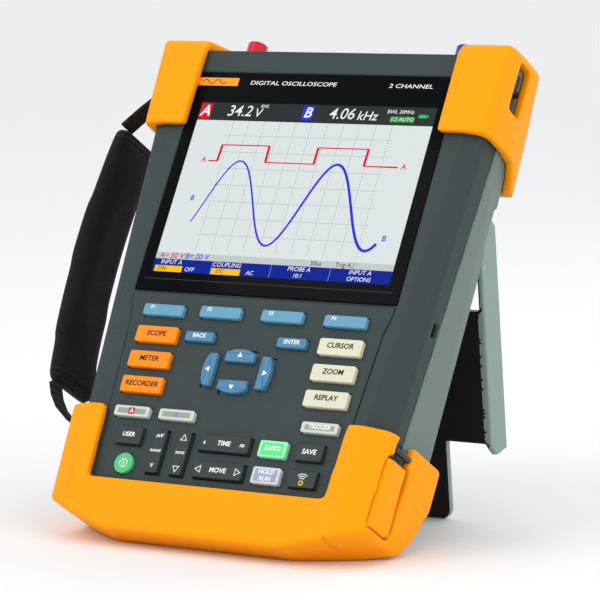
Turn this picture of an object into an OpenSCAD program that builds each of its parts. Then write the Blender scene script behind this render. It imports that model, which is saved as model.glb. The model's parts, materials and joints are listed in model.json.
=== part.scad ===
// Handheld two-channel field oscilloscope standing on its tilt stand.
// Every piece is drawn with the case upright: X to the right, Y back from the face, Z up the case,
// with Z = 0 at the lower edge of the screen picture. stood() then leans the case back on the table.

/* [Stance] */
// Angle that the case leans back from upright
lean = 30; // [28:0.5:32]
// Angle that the tilt stand opens from the back
stand_open = 37; // [36:0.5:38]

/* [Shells and rubber] */
// Width of the shells at the top
case_top_w = 181; // [178:1:184]
// Width of the shells at the bottom
case_low_w = 167; // [164:1:170]
// Depth of the shells from face to back
case_d = 46; // [45:0.5:48]
// Wall of both shells
wall = 2.5; // [2:0.1:3]
// Depth at which the two shells meet
seam_y = 17; // [16.5:0.5:18]
// Thickness of the orange rubber over the shells
rubber = 4.5; // [4:0.5:5]

/* [Screen] */
// Width of the lit picture
picture_w = 126.8; // [120:0.2:130]
// Height of the lit picture
picture_h = 88.4; // [84:0.2:92]
// Thickness of the display window
window_t = 1.6; // [1.2:0.1:2]

/* [Keys] */
// How far the key tops stand above the keypad
key_proud = 2.3; // [1.8:0.1:2.6]
// Clearance round a key
key_gap = 0.35; // [0.3:0.05:0.4]
// How far a key presses in
key_travel = 1.2; // [1:0.1:1.4]

/* [Connectors] */
// Radius of a meter jack's bore
jack_r = 2.0; // [2:0.05:2.1]
// Height of the input sockets above the connector panel
socket_h = 18.5; // [17:0.5:19.5]

/* [Hand strap] */
// How far the strap pad stands out from the case's centre line
strap_reach = 121; // [118:0.5:124]
// Width of the strap pad, front to back
pad_w = 34; // [30:1:36]

/* [Hidden] */
$fn = 64;
eps = 0.01;
clear = 0.3;

// table plane: every point on it has z * cos(lean) - y * sin(lean) = -rest_h
rest_h = 117;
function table_z(y) = (y * sin(lean) - rest_h) / cos(lean);
function floor_z(y, off) = (y * sin(lean) - rest_h + off) / cos(lean);
function row_y(p) = p[1] * sin(lean) + p[0] * cos(lean);

// heights up the case
case_top = 121.5;
case_bottom = -126;
bar_top = 117.7;
well_floor = 112;
window_low = -9.6;
window_high = 104.5;
window_half = 70;
keypad_low = -103;
keypad_high = -10.4;
guard_low = 75;
arm_top = -68;

// front corner of the shells at the top and at the bottom: [x where the flat face ends, x of the fold,
// y of the fold, y where the side begins], the first two measured in from the side
front_top = [8, 1, 2.2, 6];
front_low = [17.5, 8, 5, 16];

// outer corners of the guards and the bumper
guard_half = 95;
bumper_crown_r = 190;
bumper_low = -133.2;
corner_r = 22;

// the strap slots in the guards and the strap notches in the bumper
slot_y = [10, 22];
slot_z = [94, 121];
notch_y = [6, 20];
notch_z = -78;
pocket_x = 81;

// the well between the guards, which holds the sockets
well_half = 68;
well_y = [8, 31.5];
socket_y = 21.5;
input_x = 57;
jack_x = 14;

// tilt stand, drawn folded flat and turned about its pins
pin_y = 50;
pin_z = 33;
pin_r = 1.6;
stand_half = 80;
stand_y = case_d + clear;
plate_t = 4;
flange_d = 15;
flange_t = 3;
stand_top = 57;
plate_top = 13;
plate_low = -50;
foot_x = [31, 56];
foot_slant = 8;
foot_r = 5;
foot_drop = (rest_h + pin_z * cos(lean) - pin_y * sin(lean) - (pin_y - stand_y) * sin(stand_open - lean))
    / cos(stand_open - lean);
foot_low = pin_z - foot_drop;

// battery bay and its door
bay_half = 57;
bay_z = [-96, -46];
bay_y = 20;
door_t = 2.4;
door_clear = 0.4;
lock_x = 44;
lock_z = -88;
lock_r = 5;

// dust flap in the bumper's right arm
flap_y = [3.2, 19.5];
flap_z = [-111, -79.5];
flap_pin_x = 83.2;
flap_pin_r = 1.2;
// the flap's free edge is rounded about its pin, so that it clears the bumper as it opens
flap_swing = 16.45;

// screws that hold the shells together, [x, z] on both sides
screw_places = [[60, 55], [66, -4], [70, -58]];

// the strap
web_y = [10.6, 19.6];
web_t = 1.8;
bar_r = 1.5;
slot_bar = [88.5, 107];
notch_bar = [84.5, notch_z + 3.9];
pad_thick = 9;
pad_edge_r = 3.5;
pad_z = [-54, 80];
pad_mid_z = 25;
pad_mid_y = 27;
pad_r = 330;

// where the frame's origin lies: below the middle of the whole object's box
lip_front = [-3.9, -127.7];
guard_rear = [34.5, 124];
guard_reach = guard_half - 0.33;
centre_x = (guard_reach - strap_reach) / 2;
centre_y = (row_y(lip_front) + row_y(guard_rear)) / 2;

// [name, centre x, centre z, width, height]
side_rows = [-32, -44.5, -57];
KEYS = [
    ["f1_key", -49, -19.8, 21.6, 5.4], ["f2_key", -18.2, -19.2, 21.6, 5.4],
    ["f3_key", 14.6, -19.2, 21.6, 5.4], ["f4_key", 47.6, -19.6, 21.6, 5.4],
    ["scope_key", -48.9, side_rows[0], 22, 7.8], ["meter_key", -48.9, side_rows[1], 22, 7.8],
    ["recorder_key", -48.9, side_rows[2], 22, 7.8], ["cursor_key", 48.6, side_rows[0], 22, 7.8],
    ["zoom_key", 48.6, side_rows[1], 22, 7.8], ["replay_key", 48.6, side_rows[2], 22, 7.8],
    ["back_key", -25.6, -31.6, 15, 4.6], ["enter_key", 23.4, -31.6, 15, 4.6],
    ["up_key", -1.2, -39.4, 15, 6], ["down_key", -1.2, -54.6, 15, 6],
    ["left_key", -16, -47, 6, 15.6], ["right_key", 13.8, -47, 6, 15.6],
    ["input_a_key", -49.8, -70.3, 18.6, 5], ["input_b_key", -25.6, -70.3, 18.6, 5],
    ["trigger_key", 49.6, -70.6, 18.6, 5], ["user_key", -47.6, -82, 13.6, 8],
    ["auto_key", 29, -82.4, 14.2, 7.8], ["hold_run_key", 29.2, -94.9, 14.2, 7.8],
    ["save_key", 47.8, -82.4, 13.6, 7.8], ["wireless_key", 47.9, -94.9, 13.6, 7.8],
    ["range_rocker", -30.8, -88.4, 7, 21], ["move_y_rocker", -17.8, -88.4, 7, 21],
    ["time_rocker", 3.6, -82, 26.6, 8], ["move_x_rocker", 4.2, -94.8, 26, 8]
];
power_key_at = [-46.4, -95.2];
power_key_r = 4.9;
key_r = 1.1;
panel_t = 2;
flange = 0.8;
flange_y = [panel_t + 0.1, panel_t + 1.3];
rocker_gap = 0.6;
rocker_back = panel_t + 1.2;
mat_y = flange_y[1] + key_travel + 0.8;
board_y = mat_y + 1.7;

function key_row(name) = [for (k = KEYS) if (k[0] == name) k][0];

// ---- placing ----

module stood() {
    translate([-centre_x, -centre_y, rest_h])
        rotate([-lean, 0, 0])
            children();
}

// stand pieces are drawn folded and opened here
module opened() {
    translate([0, pin_y, pin_z])
        rotate([stand_open, 0, 0])
            translate([0, -pin_y, -pin_z])
                children();
}

module mirrored() {
    children();
    mirror([1, 0, 0]) children();
}

module block(x, y, z) {
    translate([x[0], y[0], z[0]])
        cube([x[1] - x[0], y[1] - y[0], z[1] - z[0]]);
}

module rod_y(x, z, r, y) {
    translate([x, y[0], z])
        rotate([-90, 0, 0])
            cylinder(r = r, h = y[1] - y[0]);
}

module rod_z(x, y, r, z) {
    translate([x, y, z[0]])
        cylinder(r = r, h = z[1] - z[0]);
}

module rod_x(y, z, r, x) {
    translate([x[0], y, z])
        rotate([0, 90, 0])
            cylinder(r = r, h = x[1] - x[0]);
}

// ---- shared case shapes ----

// half of the case's outline seen from above, at one height; d moves it inwards
function half_section(half, front, d) = [
    [half - front[0] - 0.3 * d, d],
    [half - front[1] - d, front[2] + d],
    [half - d, front[3]],
    [half - d, seam_y],
    [half - 3 - d, 32],
    [80 - d, case_d - d]
];
function flip(points) = [for (i = [len(points) - 1:-1:0]) [-points[i][0], points[i][1]]];

module section_slab(half, front, d, z) {
    half_points = half_section(half, front, d);
    translate([0, 0, z])
        linear_extrude(0.1)
            polygon(concat(half_points, flip(half_points)));
}

// side profile of the shells, [y, z]
function case_profile(d) = [
    [d, case_bottom + 4 + d],
    [d, 116 - d],
    [24, case_top - d],
    [30 - d, 119 - d],
    [41 - d, 92],
    [case_d - d, 64],
    [case_d - d, -97 + 0.5 * d],
    [38 - 0.6 * d, floor_z(38, rubber + 2.5 + d)],
    [6, floor_z(6, rubber + 0.5 + d)]
];

// side profile of the rubber, [y, z]
function rubber_profile(d) = [
    [-rubber + d, -125],
    [-rubber + d, 116],
    [-rubber + 3, 120.5 - d],
    [25, 127.5 - d],
    [34.5 - d, 124 - d],
    [44 - d, 94],
    [48.5 - d, 66],
    [48.5 - d, -88],
    [43 - d, -102 + d],
    [36, -112.2 + d],
    [28, table_z(28) + d],
    [4, table_z(4) + d],
    [-0.5, -132.2 + d],
    [-3.6, -129.5 + d]
];

module profile_prism(points, half) {
    translate([-half, 0, 0])
        rotate([90, 0, 90])
            linear_extrude(2 * half)
                polygon(points);
}

// front outline of the rubber: tapered sides, rounded corners and a crowned bottom edge
module rubber_outline(d) {
    intersection() {
        translate([0, bumper_low + bumper_crown_r])
            circle(r = bumper_crown_r - d, $fn = 128);
        hull() {
            for (side = [-1, 1]) {
                translate([side * (84.5 - corner_r), -105.5])
                    circle(r = corner_r - d, $fn = 32);
                translate([side * (guard_half - 14), 114])
                    circle(r = 14 - d, $fn = 32);
            }
        }
    }
}

module outline_prism(d) {
    translate([0, case_d + 20, 0])
        rotate([90, 0, 0])
            linear_extrude(case_d + 60)
                rubber_outline(d);
}

// the case as one closed solid, d inside its outer faces
module case_solid(d) {
    intersection() {
        hull() {
            section_slab(case_top_w / 2, front_top, d, case_top);
            section_slab(case_low_w / 2, front_low, d, case_bottom);
        }
        profile_prism(case_profile(d), 110);
        outline_prism(rubber + d);
        rear_corners(rubber + d);
    }
}

// a block as large as the rubber's outer faces
module rubber_solid(d) {
    intersection() {
        hull() {
            section_slab(case_top_w / 2, front_top, -rubber + d, case_top + 8);
            section_slab(case_low_w / 2, front_low, -rubber + d, case_bottom - 8);
        }
        profile_prism(rubber_profile(d), 110);
        outline_prism(d);
        rear_corners(d);
        mirrored()
            keep_inside([87, 35, 0], [0, 90, 28], d);
    }
}

// everything on the inner side of a slanting plane through a point, seen from one side of the case
module keep_inside(at, turn, d) {
    translate(at)
        rotate(turn)
            translate([-300, -300, -600 - d])
                cube([600, 600, 600]);
}

// the rear corners slant away towards the top
module rear_corners(d) {
    for (side = [0, 1])
        mirror([side, 0, 0])
            keep_inside([90, 22, 125.5], [0, 81.4, 45], d);
}

// the connectors' well, cut from the top between the guards
module well_space(grow) {
    half = well_half + grow;
    block([-half, half], [well_y[0] - grow, well_y[1] + grow], [well_floor - grow, 140]);
    block([-half, half], [-10, well_y[0]], [bar_top - grow, 140]);
    block([-half, half], [well_y[1], 60], [bar_top + 2 - grow, 140]);
}

module strap_pockets(grow) {
    mirrored() {
        block([pocket_x - grow, 110], [slot_y[0] - grow, slot_y[1] + grow],
            [slot_z[0] - grow, slot_z[1] - 6 + grow]);
        block([pocket_x - 6 - grow, 110], [notch_y[0] + 2 - grow, notch_y[1] + grow],
            [notch_z - grow, arm_top - 2 + grow]);
    }
}

// ---- shells ----

module shell_body() {
    difference() {
        case_solid(0);
        well_space(0);
        strap_pockets(0);
        difference() {
            case_solid(wall);
            well_space(wall);
            strap_pockets(wall);
        }
    }
}

module key_holes(gap, y) {
    for (k = KEYS)
        block([k[1] - k[3] / 2 - gap, k[1] + k[3] / 2 + gap], y, [k[2] - k[4] / 2 - gap, k[2] + k[4] / 2 + gap]);
    rod_y(power_key_at[0], power_key_at[1], power_key_r + gap, y);
}

module front_shell() {
    color("#424d4d")
        stood()
            difference() {
                intersection() {
                    shell_body();
                    block([-110, 110], [-20, seam_y - 0.5], [-150, 150]);
                }
                block([-window_half, window_half], [-1, window_t + 0.1], [window_low, window_high]);
                block([-66, 66], [-1, 8], [-5.5, 100]);
                keypad_recess(0, panel_t);
                block([-61.3, 61.3], [-1, 8], [-101.8, -13]);
                socket_holes();
                side_holes();
            }
}

// the keypad panel's outline: as wide as the window at its top, then drawn in
module keypad_recess(gap, depth) {
    translate([0, depth, 0])
        rotate([90, 0, 0])
            linear_extrude(depth + 1)
                polygon([
                    [-69.6 + gap, keypad_high - gap], [-69 + gap, -16], [-67 + gap, -24],
                    [-62 + gap, keypad_low + gap], [62 - gap, keypad_low + gap],
                    [67 - gap, -24], [69 - gap, -16], [69.6 - gap, keypad_high - gap]
                ]);
}

module socket_holes() {
    block([-well_half + 6, well_half - 6], [10.5, 27.5], [well_floor - 5, well_floor + 2]);
}

// the USB openings under the flap, the power socket on the left and the lock slot
module side_holes() {
    block([70, 110], [flap_y[0] + 3, flap_y[1] - 2], [flap_z[0] + 3, flap_z[1] - 3]);
    rod_x(12, -96, 5, [-110, -70]);
    block([80, 110], [11.5, 14.8], [-18.5, -11.5]);
}

module rear_shell() {
    color("#78908a")
        stood()
            difference() {
                union() {
                    intersection() {
                        shell_body();
                        block([-110, 110], [seam_y + 0.5, 80], [-150, 150]);
                    }
                    stand_cheeks();
                }
                ear_recess();
                block([-bay_half, bay_half], [case_d - wall - 1, case_d + 5], bay_z);
                for (side = [-1, 1])
                    for (at = screw_places)
                        rod_y(side * at[0], at[1], 3.6, [case_d - 1.5, case_d + 5]);
                rod_x(pin_y, pin_z, pin_r, [-stand_half, stand_half]);
                socket_holes();
                side_holes();
            }
}

// solid corners of the rear shell that carry the stand's pins
module stand_cheeks() {
    intersection() {
        case_solid(0);
        mirrored()
            block([66, 92], [30, 60], [22, 62]);
    }
    mirrored()
        block([70, 73.5], [case_d - 6, pin_y + 3.6], [pin_z - 7, pin_z + 7]);
}

// room for the stand's ears, folded and open
module ear_recess() {
    mirrored() {
        block([stand_half - flange_t - 1.2, 95], [35.3, 60], [36, 60]);
        block([stand_half - flange_t - 1.2, 95], [42, 60], [28, 36.1]);
    }
}

module case_gasket() {
    color("#202424")
        stood()
            difference() {
                intersection() {
                    case_solid(0.8);
                    block([-110, 110], [seam_y - 0.5, seam_y + 0.5], [-150, well_floor - 1]);
                }
                case_solid(wall);
                strap_pockets(0);
                side_holes();
            }
}

module display_window() {
    color("#0d0e12")
        stood()
            block([-window_half + 0.1, window_half - 0.1], [0, window_t], [window_low + 0.1, window_high - 0.1]);
}

module lcd_module() {
    color("#e0e6e6")
        stood()
            difference() {
                block([-65, 65], [window_t + 0.3, 8], [-5, 99]);
                block([-picture_w / 2, picture_w / 2], [window_t, window_t + 0.8], [0, picture_h]);
            }
}

module lcd_bracket() {
    color("#a8adb0")
        stood()
            difference() {
                block([-76, 76], [8.1, 9.1], [-8, 104]);
                block([-50, 50], [8, 10], [10, 86]);
            }
}

module keypad_panel() {
    color("#424d4d")
        stood()
            difference() {
                intersection() {
                    keypad_recess(0.25, panel_t);
                    block([-110, 110], [0, panel_t], [-150, 150]);
                }
                key_holes(key_gap, [-1, panel_t + 1]);
            }
}

module keypad_mat() {
    color("#3c4242")
        stood()
            block([-58, 58], [mat_y, board_y - 0.1], [-100.5, -13.5]);
}

module keypad_board() {
    color("#1f6b3a")
        stood()
            block([-62, 62], [board_y, board_y + 1.6], [-101, -12]);
}

module main_board() {
    color("#1f6b3a")
        stood()
            difference() {
                block([-74, 74], [13, 14.6], [-98, 88]);
                mirrored()
                    block([66.5, 80], [12, 16], [-100, -64]);
            }
}

module shield_cans() {
    color("#c4c8ca")
        stood()
            for (side = [-1, 1])
                translate([side * 34, 0, 0])
                    difference() {
                        block([-28, 28], [14.7, 30], [20, 84]);
                        block([-27.2, 27.2], [14, 29.2], [20.8, 83.2]);
                    }
}

module connector_panel() {
    color("#31393a")
        stood()
            difference() {
                block([-well_half + 6.3, well_half - 6.3], [10.8, 27.2], [well_floor - 2.5, well_floor]);
                for (side = [-1, 1]) {
                    rod_z(side * input_x, socket_y, 4.9, [well_floor - 5, well_floor + 5]);
                    rod_z(side * jack_x, socket_y, 5.1, [well_floor - 5, well_floor + 5]);
                }
            }
}

// insulated bayonet socket: collar, barrel with two bayonet lugs, insulator and centre contact
module input_socket(x) {
    top = well_floor + socket_h;
    difference() {
        union() {
            rod_z(x, socket_y, 8, [well_floor, well_floor + 8]);
            rod_z(x, socket_y, 4.8, [well_floor - 12, top]);
            rod_x(socket_y, top - 5, 1, [x - 5.8, x + 5.8]);
        }
        rod_z(x, socket_y, 4.1, [well_floor + 4, top + 1]);
    }
    rod_z(x, socket_y, 2.2, [well_floor + 4 - eps, top - 3]);
}

module input_a_socket() {
    color("#c8202c")
        stood()
            input_socket(-input_x);
}

module input_b_socket() {
    color("#2848a8")
        stood()
            input_socket(input_x);
}

module meter_jacks() {
    color("#b8202a")
        stood()
            for (side = [-1, 1])
                difference() {
                    union() {
                        rod_z(side * jack_x, socket_y, 7, [well_floor, well_floor + 9]);
                        rod_z(side * jack_x, socket_y, 5, [well_floor - 16, well_floor + eps]);
                    }
                    rod_z(side * jack_x, socket_y, jack_r, [well_floor - 13, well_floor + 10]);
                }
}

module usb_ports() {
    color("#c0c4c6")
        stood() {
            port_y = (flap_y[0] + flap_y[1] + 1) / 2;
            difference() {
                block([68.5, 76.5], [port_y - 3.4, port_y + 3.2], [-101.6, -87.2]);
                block([70, 78], [port_y - 2.7, port_y + 2.5], [-100.6, -88.2]);
            }
            block([69.9, 76], [port_y - 2.7, port_y - 0.9], [-99.2, -89.6]);
            difference() {
                block([69.5, 76.5], [port_y - 2, port_y + 2], [-86, -83]);
                block([71.5, 78], [port_y - 1.5, port_y + 1.5], [-85.5, -83.5]);
            }
        }
}

module power_socket() {
    color("#1c1f20")
        stood()
            difference() {
                rod_x(12, -96, 4.7, [-82.5, -68]);
                rod_x(12, -96, 2.75, [-90, -72]);
            }
}

module battery_pack() {
    color("#2b2f30")
        stood()
            block([-54, 54], [bay_y, case_d - wall - 4], [bay_z[0] + 2, bay_z[1] - 2]);
}

// the door swings out about its upper edge
module battery_door() {
    color("#78908a")
        stood()
            difference() {
                block([-bay_half + door_clear, bay_half - door_clear], [case_d - door_t, case_d],
                    [bay_z[0] + door_clear, bay_z[1] - door_clear]);
                for (side = [-1, 1])
                    rod_y(side * lock_x, lock_z, lock_r + 0.1, [case_d - 5, case_d + 1]);
            }
}

// quarter-turn fastener with a screwdriver slot and a cam behind the door
module door_lock(side) {
    difference() {
        rod_y(side * lock_x, lock_z, lock_r, [case_d - door_t - 1.2, case_d]);
        block([side * lock_x - 3.6, side * lock_x + 3.6], [case_d - 1.2, case_d + 1], [lock_z - 0.7, lock_z + 0.7]);
    }
}

module door_lock_left() {
    color("#8d9698")
        stood()
            door_lock(-1);
}

module door_lock_right() {
    color("#8d9698")
        stood()
            door_lock(1);
}

module case_screws() {
    color("#8d9698")
        stood()
            for (side = [-1, 1])
                for (at = screw_places)
                    difference() {
                        rod_y(side * at[0], at[1], 3.2, [case_d - 1.5, case_d - 0.2]);
                        rod_y(side * at[0], at[1], 1.2, [case_d - 1.1, case_d + 1]);
                    }
}

// ---- rubber ----

module bottom_bumper() {
    color("#ffa000")
        stood()
            difference() {
                intersection() {
                    rubber_solid(0);
                    block([-110, 110], [-20, 80], [-150, arm_top]);
                }
                case_solid(0);
                front_mouth();
                block([-70, 70], [case_d - 0.1, 80], [-96, arm_top + 1]);
                mirrored()
                    block([pocket_x, 110], notch_y, [notch_z, arm_top + 1]);
                block([75, 110], [flap_y[0] - 0.4, flap_y[1] + 3.2], [flap_z[0] - 0.4, notch_z + 0.1]);
                rod_x(12, -96, 5, [-110, -70]);
            }
}

// the keypad shows through the bumper's front
module front_mouth() {
    translate([0, 1, 0])
        rotate([90, 0, 0])
            linear_extrude(20)
                polygon([
                    [-64.2, arm_top + 1], [-62.2, keypad_low - 0.3],
                    [62.2, keypad_low - 0.3], [64.2, arm_top + 1]
                ]);
}

module guard() {
    difference() {
        intersection() {
            rubber_solid(0);
            block([well_half + 0.2, 110], [-20, 80], [66, 150]);
        }
        case_solid(0);
        guard_lower_edge();
        block([pocket_x, 110], slot_y, [slot_z[0], slot_z[1] - 3]);
        block([0, 74], [20, 80], [60, 150]);
    }
}

// the guard's lower edge is level across the front and side and drops to a tail at the back
module guard_lower_edge() {
    translate([50, 0, 0])
        rotate([90, 0, 90])
            linear_extrude(60)
                polygon([[-20, 60], [-20, guard_low - 1], [5, guard_low + 1], [30, guard_low + 1],
                    [38, 68], [60, 67], [60, 60]]);
}

module right_guard() {
    color("#ffa000")
        stood()
            guard();
}

module left_guard() {
    color("#ffa000")
        stood()
            mirror([1, 0, 0])
                guard();
}

module port_flap() {
    color("#ffa000")
        stood() {
            difference() {
                intersection() {
                    rubber_solid(0);
                    block([75, 110], [flap_y[0], flap_y[1] - 1], flap_z);
                    rod_z(flap_pin_x, flap_y[1], flap_swing, flap_z);
                }
                case_solid(-1.2);
            }
            rod_z(flap_pin_x, flap_y[1], flap_pin_r, [flap_z[0] + 1, flap_z[1] - 1]);
        }
}

// ---- strap ----

module strap_bars() {
    color("#9a9fa1")
        stood()
            mirrored() {
                rod_y(slot_bar[0], slot_bar[1], bar_r, slot_y);
                rod_y(notch_bar[0], notch_bar[1], bar_r, notch_y);
            }
}

// curved pad with rounded edges, bowed away from the case
module strap_pad() {
    low_angle = asin((pad_mid_z - pad_z[0]) / pad_r);
    high_angle = asin((pad_z[1] - pad_mid_z) / pad_r);
    color("#17181a")
        stood()
            translate([-strap_reach + pad_r, pad_mid_y, pad_mid_z])
                rotate([90, 0, 0])
                    rotate([0, 0, 180 - high_angle])
                        rotate_extrude(angle = low_angle + high_angle, $fn = 128)
                            translate([pad_r - pad_thick / 2, 0])
                                rounded_plate(pad_thick, pad_w, pad_edge_r);
}

module rounded_plate(w, h, r) {
    square([w - 2 * r, h], center = true);
    square([w, h - 2 * r], center = true);
    for (sx = [-1, 1])
        for (sy = [-1, 1])
            translate([sx * (w / 2 - r), sy * (h / 2 - r)])
                circle(r = r);
}

// webbing looped round the strap bars and run to both ends of the pad
module strap_webbing() {
    color("#1d1e20")
        stood() {
            web_loop(slot_bar);
            web_run([[-91.2, 105.2], [-97.5, 97.5], [-106, 88.8], [-113.2, 80.4]]);
            web_run([[-108.6, -54.4], [-105.6, -60.5], [-101, -66.2], [-93, -72], [-87.4, -74.3]]);
            web_loop(notch_bar);
        }
}

module web_loop(bar) {
    difference() {
        rod_y(-bar[0], bar[1], bar_r + 0.1 + web_t, web_y);
        rod_y(-bar[0], bar[1], bar_r + 0.1, [web_y[0] - 1, web_y[1] + 1]);
    }
}

module web_run(points) {
    for (i = [0:len(points) - 2])
        translate([0, web_y[1], 0])
            rotate([90, 0, 0])
                linear_extrude(web_y[1] - web_y[0])
                    web_link(points[i], points[i + 1]);
}

module web_link(a, b) {
    run = b - a;
    across = [-run[1], run[0]] / norm(run) * web_t / 2;
    ahead = run / norm(run) * 0.3;
    polygon([a + across, a - across, b + ahead - across, b + ahead + across]);
}

// ---- tilt stand ----

module tilt_stand() {
    color("#93a9a3")
        stood()
            opened() {
                mirrored()
                    difference() {
                        translate([stand_half - flange_t, 0, 0])
                            rotate([90, 0, 90])
                                linear_extrude(flange_t)
                                    polygon([
                                        [stand_y, 36], [stand_y, plate_low - 1],
                                        [stand_y + 5, plate_low - 6], [stand_y + flange_d, plate_low - 5],
                                        [stand_y + flange_d, stand_top - 7], [stand_y + 9, stand_top],
                                        [stand_y + 1.5, stand_top - 4]
                                    ]);
                        rod_x(pin_y, pin_z, pin_r + 0.05, [60, 100]);
                    }
                difference() {
                    block([-stand_half + flange_t - eps, stand_half - flange_t + eps],
                        [stand_y, stand_y + plate_t], [foot_low, plate_top]);
                    block([-stand_half, -foot_x[1]], [0, 80], [foot_low - 1, plate_low]);
                    block([foot_x[1], stand_half], [0, 80], [foot_low - 1, plate_low]);
                    block([-foot_x[0], foot_x[0]], [0, 80], [foot_low - 1, plate_low - 8]);
                    mirrored()
                        foot_corners();
                }
            }
}

// cut from a foot: its inner corner slants and its outer corner is round
module foot_corners() {
    y = [stand_y - 1, stand_y + plate_t + 1];
    translate([0, y[1], 0])
        rotate([90, 0, 0])
            linear_extrude(y[1] - y[0])
                polygon([
                    [foot_x[0] - 1, foot_low - 1], [foot_x[0] + foot_slant, foot_low - 1],
                    [foot_x[0] - 1, foot_low + foot_slant]
                ]);
    difference() {
        block([foot_x[1] - foot_r, foot_x[1] + 1], y, [foot_low - 1, foot_low + foot_r]);
        rod_y(foot_x[1] - foot_r, foot_low + foot_r, foot_r, [y[0] - 1, y[1] + 1]);
    }
}

module stand_pins() {
    color("#b6bbbd")
        stood()
            mirrored()
                rod_x(pin_y, pin_z, pin_r, [70, stand_half - 0.2]);
}

// ---- keys ----

module cap(k, grow, y) {
    translate([k[1], y[1], k[2]])
        rotate([90, 0, 0])
            linear_extrude(y[1] - y[0])
                rounded_plate(k[3] + 2 * grow, k[4] + 2 * grow, key_r);
}

module key(name, shade) {
    k = key_row(name);
    color(shade)
        stood() {
            cap(k, 0, [-key_proud, flange_y[0]]);
            cap(k, flange, flange_y);
        }
}

module rocker(name) {
    k = key_row(name);
    trim = key_gap - rocker_gap;
    color("#374040")
        stood()
            cap(k, trim, [-key_proud, rocker_back]);
}

module f1_key() { key("f1_key", "#5f9bb9"); }
module f2_key() { key("f2_key", "#5f9bb9"); }
module f3_key() { key("f3_key", "#5f9bb9"); }
module f4_key() { key("f4_key", "#5f9bb9"); }
module scope_key() { key("scope_key", "#ff8c00"); }
module meter_key() { key("meter_key", "#ff8c00"); }
module recorder_key() { key("recorder_key", "#ff8c00"); }
module cursor_key() { key("cursor_key", "#d7d7be"); }
module zoom_key() { key("zoom_key", "#d7d7be"); }
module replay_key() { key("replay_key", "#d7d7be"); }
module back_key() { key("back_key", "#5082a5"); }
module enter_key() { key("enter_key", "#5082a5"); }
module up_key() { key("up_key", "#5082a5"); }
module down_key() { key("down_key", "#5082a5"); }
module left_key() { key("left_key", "#5082a5"); }
module right_key() { key("right_key", "#5082a5"); }
module input_a_key() { key("input_a_key", "#c9cfc9"); }
module input_b_key() { key("input_b_key", "#c9cfc9"); }
module trigger_key() { key("trigger_key", "#c9cfc9"); }
module user_key() { key("user_key", "#374040"); }
module auto_key() { key("auto_key", "#6ee696"); }
module hold_run_key() { key("hold_run_key", "#bec3d2"); }
module save_key() { key("save_key", "#374040"); }
module wireless_key() { key("wireless_key", "#374040"); }
module range_rocker() { rocker("range_rocker"); }
module move_y_rocker() { rocker("move_y_rocker"); }
module time_rocker() { rocker("time_rocker"); }
module move_x_rocker() { rocker("move_x_rocker"); }

module power_key() {
    color("#5abe78")
        stood() {
            rod_y(power_key_at[0], power_key_at[1], power_key_r, [-key_proud + 0.6, flange_y[0]]);
            rod_y(power_key_at[0], power_key_at[1], power_key_r + flange, flange_y);
        }
}

front_shell();
rear_shell();
case_gasket();
display_window();
lcd_module();
lcd_bracket();
keypad_panel();
keypad_mat();
keypad_board();
main_board();
shield_cans();
connector_panel();
input_a_socket();
input_b_socket();
meter_jacks();
usb_ports();
power_socket();
battery_pack();
battery_door();
door_lock_left();
door_lock_right();
case_screws();
bottom_bumper();
left_guard();
right_guard();
port_flap();
strap_bars();
strap_webbing();
strap_pad();
tilt_stand();
stand_pins();
f1_key();
f2_key();
f3_key();
f4_key();
scope_key();
meter_key();
recorder_key();
cursor_key();
zoom_key();
replay_key();
back_key();
enter_key();
up_key();
down_key();
left_key();
right_key();
input_a_key();
input_b_key();
trigger_key();
user_key();
power_key();
auto_key();
hold_run_key();
save_key();
wireless_key();
range_rocker();
move_y_rocker();
time_rocker();
move_x_rocker();
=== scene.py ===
import json
import math

import bmesh
import bpy
from bpy.props import FloatProperty, FloatVectorProperty, PointerProperty
from bpy.types import Operator, Panel, PropertyGroup
from mathutils import Matrix, Vector


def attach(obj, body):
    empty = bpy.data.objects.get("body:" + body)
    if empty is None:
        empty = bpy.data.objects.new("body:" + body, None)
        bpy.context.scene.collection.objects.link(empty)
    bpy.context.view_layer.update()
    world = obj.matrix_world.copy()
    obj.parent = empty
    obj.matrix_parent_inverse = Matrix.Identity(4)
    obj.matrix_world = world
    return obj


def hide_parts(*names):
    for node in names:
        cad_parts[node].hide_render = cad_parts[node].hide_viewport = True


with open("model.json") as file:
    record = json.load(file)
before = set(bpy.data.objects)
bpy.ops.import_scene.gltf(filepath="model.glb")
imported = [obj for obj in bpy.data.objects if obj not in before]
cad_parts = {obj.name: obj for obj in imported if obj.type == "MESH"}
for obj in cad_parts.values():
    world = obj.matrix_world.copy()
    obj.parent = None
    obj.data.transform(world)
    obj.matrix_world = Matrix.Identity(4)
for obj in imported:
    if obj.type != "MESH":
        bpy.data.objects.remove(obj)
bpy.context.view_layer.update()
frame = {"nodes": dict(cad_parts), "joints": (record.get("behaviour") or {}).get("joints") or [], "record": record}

bl_info = {
    "name": "Field oscilloscope",
    "version": (1, 0, 0),
    "blender": (4, 5, 0),
    "location": "3D view > Sidebar > Oscilloscope",
    "description": "Builds the visible pieces of a handheld field oscilloscope over its frame",
    "category": "Object",
}

RECORD = frame["record"]
NODES = frame["nodes"]
SLOTS = {part["node"]: part["material_slot"] for part in RECORD["subparts"]}
JOINTS = {joint["name"]: joint for joint in frame["joints"]}
BODY_OF = {node: body for body, nodes in RECORD["behaviour"]["bodies"].items() for node in nodes}


# the middle between the meter jacks' mouths, in the upright case's frame
JACKS_MIDDLE = Vector((0, 0.0215, 0.110))


def mount(name):
    return next(m for m in RECORD["mounts"] if m["name"] == name)


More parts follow.
